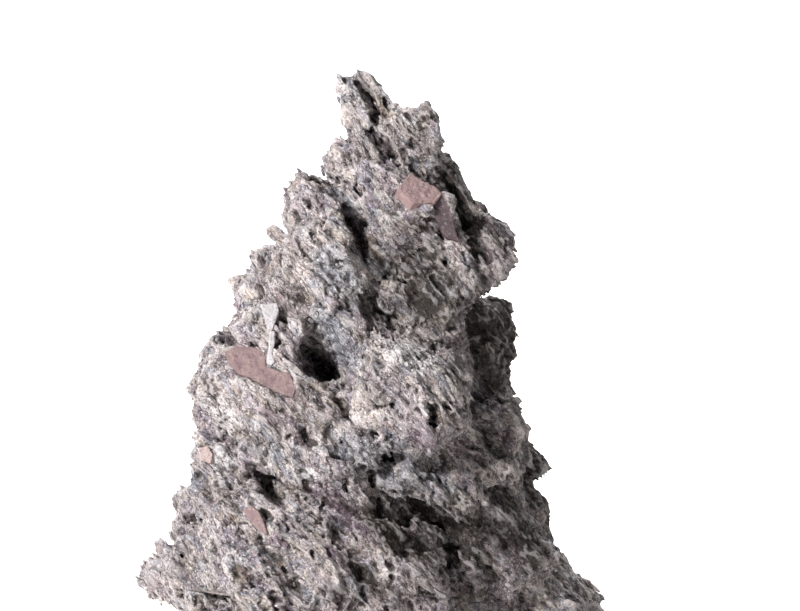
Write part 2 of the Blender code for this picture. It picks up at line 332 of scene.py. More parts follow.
# name: (pixels along it, the way to the pixel beside each whose depth it takes, radius in mm, how far its
# middle lies below that depth in mm)
FILLS = {
    "above the lower slit": (
        [(252, 448), (264, 453), (277, 463), (289, 473), (298, 483)], (6, -12), 4.5, 4.2),
    "left edge of the cave": (
        [(282, 353), (288, 366), (298, 380), (310, 392), (324, 401)], (-12, 6), 4.0, 3.5),
    "left of the cave, low": ([(298, 393), (310, 404), (324, 414)], (-10, 12), 4.5, 4.1),
    "below the cave, low": ([(343, 432), (354, 445), (366, 455)], (-12, 12), 5.0, 4.5),
    "left of the long slit": ([(326, 205), (332, 220), (340, 238)], (-14, 0), 4.0, 3.6),
    "left of the lower slit": ([(222, 455), (233, 460), (243, 466)], (0, 14), 4.0, 3.6),
    "left apron, left": ([(212, 545), (219, 562), (226, 580), (231, 598)], (-18, 4), 6.0, 6.0),
    "over the cave": ([(292, 322), (294, 334)], (-9, 0), 4.0, 3.6),
    "over the cave, right": ([(303, 314), (307, 326)], (-14, 0), 3.8, 3.6),
    "below the cave": ([(338, 402), (350, 417), (362, 432), (374, 446)], (-16, 10), 6.0, 5.2),
    "left of the round hollow": ([(362, 503), (374, 506), (384, 508)], (-6, -12), 3.5, 3.1),
    "under the side clast": ([(444, 205), (446, 220), (449, 234)], (-9, 0), 4.0, 4.1),
    "under the nose": ([(452, 244), (456, 258), (461, 272), (466, 286)], (-11, 0), 5.0, 4.7),
    "low apron": ([(246, 592), (254, 600), (262, 606)], (14, -8), 4.5, 4.2),
    "at the summit": ([(366, 101), (368, 116)], (-9, 0), 3.0, 2.7),
    "behind the grey mass": ([(478, 412), (484, 424), (489, 436)], (13, 0), 4.0, 3.7),
    "lower right": ([(457, 572), (461, 586), (466, 600), (470, 608)], (17, 0), 5.0, 4.5),
    "left apron": ([(218, 540), (226, 556), (233, 572), (240, 588)], (18, -6), 5.0, 5.8),
    "left foot": ([(203, 452), (205, 458)], (3, 14), 4.0, 3.5),
}
chance = random.Random(5)


def make_fill(name, pixels, beside, radius, below):
    """A row of rough balls along a line of pixels, as deep as the skin beside them."""
    places = []
    for start, end in zip(pixels, pixels[1:]):
        start, end = Vector(start), Vector(end)
        steps = max(1, round((end - start).length / BALL_EVERY_PX))
        places += [start.lerp(end, count / steps) for count in range(steps)]
    places.append(Vector(pixels[-1]))
    balls = []
    for place in places:
        reach = (on_stone(place + Vector(beside))[0] - eye).length
        size = radius * chance.uniform(*BALL_SIZES)
        middle = eye + ray_through(place) * (reach + (below + size - radius) * MM)
        bpy.ops.object.select_all(action="DESELECT")
        bpy.ops.mesh.primitive_ico_sphere_add(subdivisions=2, radius=size * MM, location=middle)
        bpy.ops.object.transform_apply()
        balls.append(bpy.context.object)
    fill = join(balls)
    fill.name = name
    return fill


fills = join([make_fill(name, *fill) for name, fill in FILLS.items()])
print(len(FILLS), "rows of fills")

# %% [markdown]
# ## Broken along the grain
#
# The body of the stone is a breccia: angular flakes, pressed together, that all lean the same way. Broken
# faces of such stone are steps, not waves, so a noise pushed along the normals looks wrong. Instead the
# space is divided in Voronoi cells, turned with the grain and stretched along it. Each cell moves its bit of
# skin in or out by its own amount, tips it its own way and slides it along the grain, and the cell borders
# are sunk as crevices. Three sizes of cell do this one over the other, and slow noise makes some places
# rougher than others.

# %% Grain space and relief
GRAIN_ANGLE = math.radians(48)
CELL_THICKNESS = 1.25
WARP_MM, WARP_SCALE_MM = 0.5, 3.0
BEND_MM, BEND_SCALE_MM = 9.0, 60.0


def feed(tree, socket, value):
    """Links a socket to another, or sets its value."""
    if isinstance(value, bpy.types.NodeSocket):
        tree.links.new(value, socket)
    else:
        socket.default_value = value


def linked(tree, kind, settings, *values):
    """The first output of a new node whose first inputs are given, each as a socket or a value."""
    made = node(tree, kind, settings)
    for index, value in enumerate(values):
        feed(tree, made.inputs[index], value)
    return made.outputs[0]


def maths(tree, operation, one, other=0.0):
    return linked(tree, "ShaderNodeMath", {"operation": operation}, one, other)


def plus(tree, one, other):
    return maths(tree, "ADD", one, other)


def minus(tree, one, other):
    return maths(tree, "SUBTRACT", one, other)


def times(tree, one, other):
    return maths(tree, "MULTIPLY", one, other)


def vectors(tree, operation, one, other):
    return linked(tree, "ShaderNodeVectorMath", {"operation": operation}, one, other)


def step(tree, value, low, high, to_low=0.0, to_high=1.0):
    """Maps low..high to to_low..to_high, smoothly, and holds beyond."""
    made = node(
        tree, "ShaderNodeMapRange",
        {"interpolation_type": "SMOOTHSTEP", "From Min": low, "From Max": high, "To Min": to_low,
         "To Max": to_high},
        {"Value": value},
    )
    return made.outputs["Result"]


def round_noise(tree, place, size_mm, detail):
    """Noise with waves as long one way as the other."""
    settings = {"Scale": 1 / (size_mm * MM), "Detail": detail}
    return node(tree, "ShaderNodeTexNoise", settings, {"Vector": place})


def bent(tree, place):
    """The place, shifted by slow and by quick noise, so that layers bend and borders aren't straight."""
    for size_mm, shift_mm in ((BEND_SCALE_MM, BEND_MM), (WARP_SCALE_MM, WARP_MM)):
        wave = round_noise(tree, place, size_mm, 2.0).outputs["Color"]
        centred = vectors(tree, "SUBTRACT", wave, (0.5, 0.5, 0.5))
        place = vectors(tree, "ADD", place, vectors(tree, "MULTIPLY", centred, (2 * shift_mm * MM,) * 3))
    return place


def in_grain(tree, place, across_mm, stretch):
    """The place in units of one cell, turned so that x runs along the grain and z across it."""
    turned = node(
        tree, "ShaderNodeVectorRotate", {"rotation_type": "Y_AXIS", "Angle": -GRAIN_ANGLE}, {"Vector": place}
    ).outputs[0]
    cell = (across_mm * MM * stretch, across_mm * MM * CELL_THICKNESS, across_mm * MM)
    return vectors(tree, "DIVIDE", turned, cell)


def cells(tree, place, across_mm, stretch, feature="F1"):
    return node(
        tree, "ShaderNodeTexVoronoi", {"feature": feature, "Scale": 1.0},
        {"Vector": in_grain(tree, place, across_mm, stretch)},
    )


def facets(tree, place, cell, across_mm, stretch):
    """A height that tips each cell's face its own way."""
    within = vectors(tree, "SUBTRACT", in_grain(tree, place, across_mm, stretch), cell.outputs["Position"])
    lean = vectors(tree, "SUBTRACT", cell.outputs["Color"], (0.5, 0.5, 0.5))
    return node(tree, "ShaderNodeVectorMath", {"operation": "DOT_PRODUCT"}, {0: within, 1: lean}).outputs[1]


# size across the grain in mm, stretch, then in mm: height of the steps, tip, depth of the crevices, slide
BREAKS = (
    (4.2, 3.0, 0.75, 1.3, 0.9, 0.9),
    (1.9, 3.0, 0.36, 0.6, 0.5, 0.3),
    (0.95, 2.2, 0.16, 0.3, 0.2, 0.0),
)
STEP_MIDDLE = 0.55
CREVICE_SHARE = 0.12
PATCHY_MM, SLOW_MM = 7, 10
LEAST_ROUGH, MOST_ROUGH = 0.35, 1.2
FOOT_ROUGH, RIGHT_ROUGH = 1.3, 0.7
FOOT_MM, RIGHT_MM = (30, 75), (20, 40)


def geometry_group(name):
    """A geometry node group, and the socket that its geometry comes from."""
    tree = bpy.data.node_groups.new(name, "GeometryNodeTree")
    for in_out in ("INPUT", "OUTPUT"):
        tree.interface.new_socket("Geometry", in_out=in_out, socket_type="NodeSocketGeometry")
    return tree, node(tree, "NodeGroupInput").outputs[0]


def put_on(obj, tree, result):
    """Ends the group at result and makes it a modifier of obj."""
    node(tree, "NodeGroupOutput", None, {0: result})
    modifier = obj.modifiers.new(tree.name, "NODES")
    modifier.node_group = tree


def break_up(obj):
    """Breaks the skin of obj in cells by Geometry Nodes."""
    tree, start = geometry_group("break up")
    place = node(tree, "GeometryNodeInputPosition").outputs[0]
    facing = node(tree, "GeometryNodeInputNormal").outputs[0]
    grain_place = bent(tree, place)
    patchy = round_noise(tree, place, PATCHY_MM, 1.0).outputs[0]
    open_here = step(tree, patchy, 0.45, 0.6, 0.15, 1.3)
    total, slid = 0.0, 0.0
    for across, stretch, rise, tip, depth, slide in BREAKS:
        cell = cells(tree, grain_place, across, stretch)
        draws = node(tree, "ShaderNodeSeparateXYZ", None, {0: cell.outputs["Color"]}).outputs
        tipped = facets(tree, grain_place, cell, across, stretch)
        border = cells(tree, grain_place, across, stretch, "DISTANCE_TO_EDGE").outputs["Distance"]
        total = plus(tree, total, times(tree, minus(tree, draws[0], STEP_MIDDLE), 2 * rise))
        total = plus(tree, total, times(tree, tipped, 2 * tip))
        slid = plus(tree, slid, times(tree, minus(tree, draws[1], 0.5), 2 * slide))
        crevice = times(tree, step(tree, border, 0.0, CREVICE_SHARE, -depth, 0.0), open_here)
        total = plus(tree, total, crevice)
    slow = round_noise(tree, place, SLOW_MM, 2.0).outputs[0]
    right, _, height = node(tree, "ShaderNodeSeparateXYZ", None, {0: place}).outputs
    rough = step(tree, slow, 0.38, 0.62, LEAST_ROUGH * MM, MOST_ROUGH * MM)
    rough = times(tree, rough, step(tree, height, FOOT_MM[0] * MM, FOOT_MM[1] * MM, FOOT_ROUGH, 1.0))
    rough = times(tree, rough, step(tree, right, RIGHT_MM[0] * MM, RIGHT_MM[1] * MM, 1.0, RIGHT_ROUGH))
    push, along = times(tree, total, rough), times(tree, slid, rough)
    grain = (math.cos(GRAIN_ANGLE), 0, -math.sin(GRAIN_ANGLE))
    offset = node(tree, "ShaderNodeVectorMath", {"operation": "SCALE"}, {0: facing, "Scale": push}).outputs[0]
    drag = node(tree, "ShaderNodeVectorMath", {"operation": "SCALE", 0: grain}, {"Scale": along}).outputs[0]
    offset = vectors(tree, "ADD", offset, drag)
    moved = node(tree, "GeometryNodeSetPosition", None, {"Geometry": start, "Offset": offset})
    put_on(obj, tree, moved.outputs[0])


# %% [markdown]
# ## Shards, and strewing them
#
# A few shards are modelled once: a low ball with its corners thrown about and squashed, which gives flat
# facets with few faces. Geometry Nodes drops points on the skin, puts one of the shards on each, turned near
# the grain, and realizes the instances, which the export needs. Each instance first stores a random number,
# so that every grain can take its own tone from one material.

# %% Shards
CORNER_THROW = 0.35


def make_shard(name, stretch, seed, collection):
    """An angular chip about 2 units long, with 20 faces."""
    bpy.ops.object.select_all(action="DESELECT")
    bpy.ops.mesh.primitive_ico_sphere_add(subdivisions=1, radius=1)
    shard = bpy.context.object
    shard.name = name
    with editing(shard):
        bpy.ops.transform.vertex_random(offset=CORNER_THROW, uniform=1.0, normal=0.0, seed=seed)
        bpy.ops.transform.resize(value=stretch)
        bpy.ops.mesh.convex_hull()
        bpy.ops.mesh.quads_convert_to_tris()
    for owner in list(shard.users_collection):
        owner.objects.unlink(shard)
    collection.objects.link(shard)
    return shard


def make_shards(name, stretches, seed):
    collection = bpy.data.collections.new(name)
    SCENE.collection.children.link(collection)
    for count, stretch in enumerate(stretches):
        make_shard(f"{name}_{count}", stretch, seed + count, collection)
    return collection


FLAKE_STRETCHES = ((1.5, 1.0, 0.4), (1.2, 1.0, 0.5), (1.7, 0.8, 0.4), (1.1, 0.9, 0.6))
GRAIN_STRETCHES = ((1.1, 0.9, 0.7), (1.0, 0.8, 0.6), (1.4, 0.8, 0.5), (1.5, 0.7, 0.4))
flake_shapes = make_shards("flake", FLAKE_STRETCHES, 11)
grain_shapes = make_shards("grain", GRAIN_STRETCHES, 41)


def strew(obj, shapes, per_mm2, least_mm, most_mm, shake_deg, seed, keep_surface):
    """Strews shapes over obj, long sides near the grain. least_mm and most_mm bound their half length."""
    tree, start = geometry_group("strew")
    shake = math.radians(shake_deg)
    points = node(
        tree, "GeometryNodeDistributePointsOnFaces",
        {"distribute_method": "RANDOM", "Density": per_mm2 / MM ** 2, "Seed": seed},
        {"Mesh": start},
    )
    shapes_in = node(
        tree, "GeometryNodeCollectionInfo",
        {"Collection": shapes, "Separate Children": True, "Reset Children": True},
    )
    turn = node(
        tree, "FunctionNodeRandomValue",
        {"data_type": "FLOAT_VECTOR", 0: (-shake, GRAIN_ANGLE - shake, -shake),
         1: (shake, GRAIN_ANGLE + shake, shake), "Seed": seed + 1},
    )
    size = node(tree, "FunctionNodeRandomValue", {"data_type": "FLOAT", "Seed": seed + 2})
    skewed = node(tree, "ShaderNodeMath", {"operation": "POWER", 1: 2.0}, {0: size.outputs[1]})
    scale = node(
        tree, "ShaderNodeMapRange",
        {"To Min": least_mm * MM, "To Max": most_mm * MM}, {"Value": skewed.outputs[0]},
    )
    placed = node(
        tree, "GeometryNodeInstanceOnPoints", {"Pick Instance": True},
        {"Points": points.outputs["Points"], "Instance": shapes_in.outputs[0], "Rotation": turn.outputs[0],
         "Scale": scale.outputs["Result"]},
    )
    tone = node(tree, "FunctionNodeRandomValue", {"data_type": "FLOAT", "Seed": seed + 3})
    toned = node(
        tree, "GeometryNodeStoreNamedAttribute",
        {"data_type": "FLOAT", "domain": "INSTANCE", "Name": "tone"},
        {"Geometry": placed.outputs[0], "Value": tone.outputs[1]},
    )
    result = node(tree, "GeometryNodeRealizeInstances", None, {"Geometry": toned.outputs[0]}).outputs[0]
    if keep_surface:
        joined = node(tree, "GeometryNodeJoinGeometry")
        tree.links.new(start, joined.inputs[0])
        tree.links.new(result, joined.inputs[0])
        result = joined.outputs[0]
    put_on(obj, tree, result)


# %% [markdown]
# ## The matrix
#
# A copy of the solid and the fills are fused to one mesh, and a copy of that is kept for the pixels of
# patches and clasts to aim at. Then the slits are cut, the mesh is made fine, its skin is broken up, and
# flakes are strewn on it and fused with it.

# %% The matrix
COARSE_VOXEL = 0.9 * MM
FIRST_VOXEL = 0.45 * MM
LAST_VOXEL = 0.42 * MM
SLABS = 4
SLAB_TRIANGLES = 182000

matrix = new_object("matrix", cad_rock.data.copy())
with editing(matrix):
    bpy.ops.mesh.remove_doubles(threshold=0.001 * MM)
matrix = join([matrix, fills])
fuse(matrix, COARSE_VOXEL)
apply_modifiers(matrix)
filled = new_object("filled", matrix.data.copy())
bpy.context.view_layer.update()
aimed_at = filled
cut = matrix.modifiers.new("slits", "BOOLEAN")
cut.operation = "DIFFERENCE"
cut.solver = "EXACT"
cut.object = slits
fuse(matrix, FIRST_VOXEL)
break_up(matrix)
apply_modifiers(matrix)
delete([slits])
print("broken matrix:", triangles(matrix), "triangles")
strew(
    matrix, flake_shapes, per_mm2=0.04, least_mm=0.5, most_mm=1.5, shake_deg=14, seed=100, keep_surface=True
)
fuse(matrix, LAST_VOXEL)
apply_modifiers(matrix)
print("with flakes:", triangles(matrix), "triangles")

# %% [markdown]
# ## A flat foot, fewer faces, and how hollow each spot is
#
# The foot is cut flat again at the table, because the flakes also grew below it. The mesh is then thinned to
# what one piece may have. Last, each point learns how far it lies under the blurred skin: by that the
# material paints shade into the hollows and a highlight on the edges.

# %% Foot, thinning and hollows
BLUR_ROUNDS = 12
HOLLOW_PER_MM = 0.6


def flat_foot(obj):
    with editing(obj):
        bpy.ops.mesh.bisect(plane_co=(0, 0, 0), plane_no=(0, 0, -1), clear_outer=True, use_fill=True)


def thin_out(obj, count):
    if triangles(obj) > count:
        thin = obj.modifiers.new("fewer faces", "DECIMATE")
        thin.ratio = count / triangles(obj)
        apply_modifiers(obj)


def edges_of(obj):
    """The numbers of the points at one end and at the other end of each edge."""
    ends = np.empty(len(obj.data.edges) * 2, int)
    obj.data.edges.foreach_get("vertices", ends)
    return ends.reshape(-1, 2).T


def keep_largest_body(obj):
    """Removes crumbs that the cuts left loose."""
    parent = np.arange(len(obj.data.vertices))
    one, other = edges_of(obj)
    while True:
        lowest = np.minimum(parent[one], parent[other])
        merged = parent.copy()
        np.minimum.at(merged, one, lowest)
        np.minimum.at(merged, other, lowest)
        merged = merged[merged]
        if (merged == parent).all():
            break
        parent = merged
    loose = parent != np.bincount(parent).argmax()
    print("loose crumbs' points:", int(loose.sum()))
    with editing(obj):
        bpy.ops.mesh.select_all(action="DESELECT")
    obj.data.vertices.foreach_set("select", loose)
    bpy.ops.object.mode_set(mode="EDIT")
    bpy.ops.mesh.delete(type="VERT")
    bpy.ops.object.mode_set(mode="OBJECT")


def points_of(obj):
    places = np.empty(len(obj.data.vertices) * 3)
    obj.data.vertices.foreach_get("co", places)
    return places.reshape(-1, 3)


def normals_of(obj):
    normals = np.empty(len(obj.data.vertices) * 3)
    obj.data.vertex_normals.foreach_get("vector", normals)
    return normals.reshape(-1, 3)


def blurred(obj, places, rounds):
    """The points' places, each averaged with its neighbours' again and again."""
    one, other = edges_of(obj)
    count = np.bincount(one, minlength=len(places)) + np.bincount(other, minlength=len(places)) + 1
    for _ in range(rounds):
        total = [
            np.bincount(one, places[other, axis], len(places))
            + np.bincount(other, places[one, axis], len(places))
            + places[:, axis]
            for axis in range(3)
        ]
        places = np.stack(total, 1) / count[:, None]
    return places


def store(obj, name, values):
    attribute = obj.data.attributes.get(name) or obj.data.attributes.new(name, "FLOAT", "POINT")
    attribute.data.foreach_set("value", np.clip(values, 0, 1).astype(np.float32))


flat_foot(matrix)
thin_out(matrix, SLABS * SLAB_TRIANGLES)
keep_largest_body(matrix)
skin = points_of(matrix)
under = ((blurred(matrix, skin, BLUR_ROUNDS) - skin) * normals_of(matrix)).sum(1) / MM
store(matrix, "hollow", 0.5 + under * HOLLOW_PER_MM)
print("matrix:", triangles(matrix), "triangles; hollow spread", np.percentile(under, [5, 50, 95]).round(2))

# %% [markdown]
# ## Where the stone changes colour, and where shade and light are painted
#
# The matrix isn't one colour. Each patch below is a soft ellipsoid at a pixel of the photograph, long along
# the given slope, and stores how strongly a spot belongs to one of five kinds. The materials mix their
# colours by these, and noise frays their borders. Not every patch is the stone's own colour: many dark ones
# are painted shade, on faces turned from the lamp, in hollows and under ledges, and a few pale ones are
# painted light on lit faces. The far side gets its changes from noise alone.

# %% Patches
# kind, then name: (pixel, half sizes in mm along and across, slope down to the right in degrees, strength)
PATCH_REACH = 1.6
MORE_DEPTH_MM = 4
PATCHES = {
    # The dark kind is multiplied in as SHADE. It is partly the stone's dark rock, as in the dark fractured
    # face and the blue lens, and mostly painted shade: the right flank, the back ridge and the nose turned
    # from the lamp, the hollows, the apron's dark valley and the spots under ledges.
    "dark": {
        "dark fractured face": ((424, 286), (15, 9), 50, 0.95),
        "behind the top clast": ((456, 192), (9, 3.5), 60, 0.95),
        "hollow right of the ledge": ((446, 522), (15, 8), 45, 1.3),
        "under the grey band": ((392, 510), (12, 3), 20, 0.7),
        "right edge": ((532, 470), (28, 7), 70, 0.85),
        "lower right edge": ((520, 535), (14, 8), 55, 1.0),
        "right of the side clast": ((461, 220), (8, 2.5), 75, 1.0),
        "blue lens": ((424, 228), (2.4, 1.2), 20, 1.0),
        "nose": ((488, 230), (12, 7), 60, 0.6),
        "hollow over the nose": ((464, 218), (10, 4), 60, 0.7),
        "grey mass on the right": ((465, 385), (20, 8), 75, 0.35),
        "right flank": ((495, 480), (24, 9), 70, 0.5),
        "lower right": ((480, 550), (20, 12), 50, 0.45),
        "back ridge": ((495, 335), (22, 10), 75, 1.25),
        "back ridge, low": ((500, 300), (9, 6), 75, 1.2),
        "foot at the right": ((560, 590), (16, 8), 45, 0.3),
        "under the middle bulge": ((400, 478), (14, 8), 10, 0.4),
        "left of the curved slit": ((384, 300), (7, 9), 70, 0.5),
        "brown ledge": ((395, 536), (17, 3.5), 33, 1.0),
        "apron, dark valley": ((369, 580), (9, 2.5), 45, 0.9),
        "apron, dark valley, low": ((341, 600), (6, 2), 50, 0.9),
        "apron, right part": ((430, 580), (9, 6), 60, 0.4),
        "left of the slit's end": ((262, 482), (4, 1.5), 45, 0.9),
    },
    "cool": {
        "cool spot above the cave": ((333, 268), (9, 6), 40, 0.8),
        "cave wall": ((338, 340), (13, 5), 55, 0.9),
        "cool band, middle": ((385, 462), (22, 9), 20, 0.7),
        "cool band, left": ((285, 462), (16, 6), 35, 0.5),
        "cool strip at the summit": ((348, 205), (8, 3), 50, 0.6),
        "plate": ((425, 160), (10, 4), 50, 0.4),
        "lower apron": ((330, 560), (14, 6), 50, 0.35),
    },
    "ochre": {
        "brown ledge, tone": ((398, 536), (15, 3.5), 33, 0.8),
        "ochre at the summit": ((383, 108), (4.5, 2.2), 60, 0.9),
        "ochre in the long slit": ((373, 246), (5, 1.6), 70, 0.9),
        "ochre left of the middle": ((300, 297), (7, 3), 20, 0.6),
        "tan wall of the lower slit": ((292, 489), (6, 1.8), -10, 0.7),
        "ochre below the cave": ((342, 408), (5, 1.5), 40, 0.7),
        "ochre beside the pit": ((443, 418), (3, 1.5), 60, 0.9),
        "rust speck": ((235, 519), (2, 1.5), 30, 1.0),
        "brown of the lower apron": ((290, 575), (6, 2.5), 50, 0.5),
        "yellowish crag": ((252, 266), (4, 3), 50, 0.35),
        "brown of the left notch": ((318, 183), (5, 1.8), 10, 0.7),
        "brown, left apron": ((240, 575), (3.5, 2), 50, 0.7),
        "brown over the nose": ((478, 215), (9, 4), 50, 0.5),
        "tan, below the left clast": ((265, 402), (5, 1.6), 40, 0.6),
    },
    "pink": {
        "mauve of the middle bulge": ((424, 438), (6, 4.5), 60, 1.0),
        "mauve ledge": ((355, 518), (13, 3.5), 28, 1.0),
        "mauve above the ledge": ((322, 492), (7, 2.2), 12, 0.9),
        "rose left foot": ((205, 456), (3, 3), 40, 0.7),
        "rose, middle": ((380, 442), (6, 2), 40, 0.5),
        "rose of the upper left": ((237, 310), (4, 1.6), 70, 0.8),
        "mauve beside the cave": ((352, 345), (8, 3), 60, 0.5),
        "rose apron": ((278, 541), (3.5, 2.2), 50, 0.9),
        "rose, low": ((332, 555), (3, 2), 50, 0.9),
        "lilac, right of the cave": ((362, 318), (5, 2.5), 60, 0.7),
        "lilac, nose": ((490, 258), (4, 2), 70, 0.8),
        "rose, right": ((508, 440), (5, 2), 75, 0.9),
    },
    "white": {
        # Painted light: this pale patch lightens a lit face at the left.
        "pale, left of the slit": ((220, 460), (7, 4), 50, 0.7),
        "cream clast": ((398, 216), (2.0, 1.8), 60, 0.9),
        "white left streak": ((230, 415), (5, 1.4), 40, 0.9),
        # Painted light: these two pale patches lighten the lit left flank and the left apron.
        "pale flank, left": ((222, 415), (13, 6), 60, 0.55),
        "pale apron, left": ((215, 580), (9, 6), 50, 0.55),
        "pale, over the slit": ((268, 440), (9, 4), 45, 0.35),
        "pale left crag": ((250, 268), (3.5, 2.5), 60, 0.5),
        "white over the lower slit": ((268, 467), (6, 2), 42, 0.6),
        "white crystals": ((311, 475), (3, 2), 20, 0.9),
        "quartz vein": ((272, 343), (4.5, 1.1), 88, 1.0),
        "quartz vein, foot": ((270, 364), (3, 1.3), 25, 1.0),
        "crystals under the nose": ((476, 279), (3.5, 2.5), 60, 0.7),
        "pale rim of the pit": ((424, 408), (4, 1.6), 60, 0.8),
        "pale edge at the summit": ((408, 122), (3, 1.2), 30, 0.6),
        # Painted light: the top of the middle bulge is made paler where the lamp falls on it.
        "bulge top": ((410, 352), (10, 5.5), 30, 0.85),
        "pale left foot": ((206, 455), (2.5, 2.5), 40, 0.4),
        "pale summit strip": ((438, 166), (4, 1.2), 50, 0.6),
    },
}


def paint_patches(obj):
    """Stores how strongly each point belongs to each kind."""
    places = points_of(obj)
    for kind, patches in PATCHES.items():
        amounts = np.zeros(len(places))
        for pixel, (length, width), slope, strength in patches.values():
            turn = math.radians(slope)
            along = camera_right * math.cos(turn) - camera_up * math.sin(turn)
            across = camera_right * math.sin(turn) + camera_up * math.cos(turn)
            away = (places - np.array(on_stone(pixel)[0])) / MM
            distance = np.sqrt(
                (away @ np.array(along) / length) ** 2
                + (away @ np.array(across) / width) ** 2
                + (away @ np.array(toward_camera) / (length + MORE_DEPTH_MM)) ** 2
            )
            amounts = np.maximum(amounts, strength * np.clip(PATCH_REACH - distance, 0, 1))
        store(obj, kind, amounts)


paint_patches(matrix)

# %% [markdown]
# ## Smooth clasts
#
# Seven flat pieces lie in the matrix like tiles: five of pink or mauve fine-grained rock, one of milky quartz
# and the quartz vein below it. Their outlines are polygons with a few corners. Each is laid on the mean slope
# of the skin there and made thick, its edges are worn by a bevel and a fine remesh, and a soft texture makes
# its face uneven. What the matrix or the grains would lay over a face is pressed down into it.

# %% Clasts
WORN_MM = 0.15
CLOUD_MM, CLOUD_HEIGHT_MM = 1.6, 0.6
PRESS_MM, PRESS_REACH_MM = 0.8, 8.0
# name: (outline in pixels, how far it stands out of the skin in mm, how far it goes down in it in mm)
CLASTS = {
    "rock_clast_top": (
        [(411, 173), (420, 181), (435, 187), (442, 195), (434, 204), (422, 204), (412, 205), (397, 190)],
        0.7, 3.5),
    "rock_clast_top_side": (
        [(442, 194), (451, 206), (455, 228), (459, 242), (446, 238), (436, 220), (433, 204)], 0.7, 3.5),
    "rock_clast_left": (
        [(225, 352), (236, 347), (257, 348), (265, 355), (267, 367), (276, 371), (290, 374), (296, 388),
         (294, 399), (276, 393), (256, 382), (240, 375), (229, 364)], 0.9, 3.5),
    "rock_clast_low": (
        [(243, 510), (252, 505), (260, 512), (266, 527), (268, 535), (260, 532), (252, 523), (246, 516)],
        0.8, 3.0),
    "rock_clast_left_foot": ([(198, 448), (208, 446), (213, 455), (211, 464), (201, 461)], 0.7, 2.5),
    "rock_quartz": (
        [(260, 305), (277, 304), (279, 312), (276, 321), (272, 331), (268, 329), (265, 319)], 1.0, 3.0),
    "rock_quartz_vein": (
        [(270, 331), (275, 331), (275, 343), (272, 353), (275, 362), (271, 366), (266, 363), (268, 353)],
        0.3, 2.5),
}


def make_clast(name, outline, stand_mm, sink_mm):
    """A clast with this outline, the middle of the skin under it and the way that it faces."""
    centre_pixel = tuple(np.mean(outline, axis=0))
    hits = [on_stone(pixel) for pixel in outline]
    inner = [on_stone(tuple((np.array(pixel) + centre_pixel) / 2)) for pixel in outline]
    centre = Vector(np.median([point for point, _ in hits + inner], axis=0))
    normal = sum((facing for _, facing in hits + inner), Vector()).normalized()
    bpy.ops.object.select_all(action="DESELECT")
    bpy.ops.mesh.primitive_circle_add(vertices=len(outline), fill_type="NGON")
    clast = bpy.context.object
    clast.name = name
    for vertex, pixel in zip(clast.data.vertices, outline):
        ray = ray_through(pixel)
        reach = (centre - eye).dot(normal) / ray.dot(normal)
        vertex.co = eye + ray * reach + normal * stand_mm * MM
    with editing(clast):
        down = -normal * (stand_mm + sink_mm) * MM
        bpy.ops.mesh.extrude_region_move(TRANSFORM_OT_translate={"value": down})
        bpy.ops.mesh.select_all(action="SELECT")
        bpy.ops.mesh.normals_make_consistent(inside=False)
    bevel = clast.modifiers.new("worn edges", "BEVEL")
    bevel.width = WORN_MM * MM
    fuse(clast, FINE_VOXEL)
    uneven = bpy.data.textures.new("uneven", "CLOUDS")
    uneven.noise_scale = CLOUD_MM * MM
    uneven.noise_depth = 3
    relief = clast.modifiers.new("uneven", "DISPLACE")
    relief.texture = uneven
    relief.texture_coords = "GLOBAL"
    relief.strength = CLOUD_HEIGHT_MM * MM
    relief.mid_level = 0.5
    apply_modifiers(clast)
    print(name, "has", triangles(clast), "triangles")
    return clast, centre, normal


def inside(outline, across, down):
    """Which pixels lie in the outline: a ray to the side crosses it an odd number of times."""
    odd = np.zeros(len(across), bool)
    for (x1, y1), (x2, y2) in zip(outline, outline[1:] + outline[:1]):
        if y1 != y2:
            crosses = (down < y1) != (down < y2)
            odd ^= crosses & (across < x1 + (down - y1) * (x2 - x1) / (y2 - y1))
    return odd


def clear_faces(obj):
    """Presses what stands over a clast's face down into the clast."""
    places = points_of(obj)
    for (outline, stand_mm, _), (_, centre, normal) in zip(CLASTS.values(), clasts):
        above = (places - np.array(centre)) @ np.array(normal) / MM - (stand_mm - PRESS_MM)
        over = inside(outline, *pixels_of(places)) & (above > 0) & (above < PRESS_REACH_MM)
        places[over] -= above[over, None] * np.array(normal) * MM
    obj.data.vertices.foreach_set("co", places.ravel())
    obj.data.update()


clasts = [make_clast(name, *clast) for name, clast in CLASTS.items()]
clear_faces(matrix)

# %% [markdown]
# ## Grains
#
# On top of the fused matrix sit loose-looking grains, most of them a millimetre or two long: they break the
# light into the sparkle of small facets that the photograph shows everywhere. Their number keeps the piece
# under 200,000 triangles.

# %% Grains
GRAIN_COUNT = 9200
matrix_area = sum(polygon.area for polygon in matrix.data.polygons) / MM ** 2
print("skin area in square mm:", round(matrix_area))
grains = new_object("rock_grains_1", matrix.data.copy())
strew(
    grains, grain_shapes, per_mm2=GRAIN_COUNT / matrix_area, least_mm=0.35, most_mm=1.3, shake_deg=20,
    seed=300, keep_surface=False,
)
apply_modifiers(grains)
flat_foot(grains)
clear_faces(grains)
paint_patches(grains)
print(grains.name, "has", triangles(grains), "triangles")
delete(list(flake_shapes.objects) + list(grain_shapes.objects))
bpy.data.collections.remove(flake_shapes)
bpy.data.collections.remove(grain_shapes)

# %% [markdown]
# ## The matrix in slabs
#
# The skin has more faces than one piece may have, so the matrix is sliced flat in four slabs with about as
# many faces each. Each cut is closed from its open edges, and the closed faces of two slabs touch.

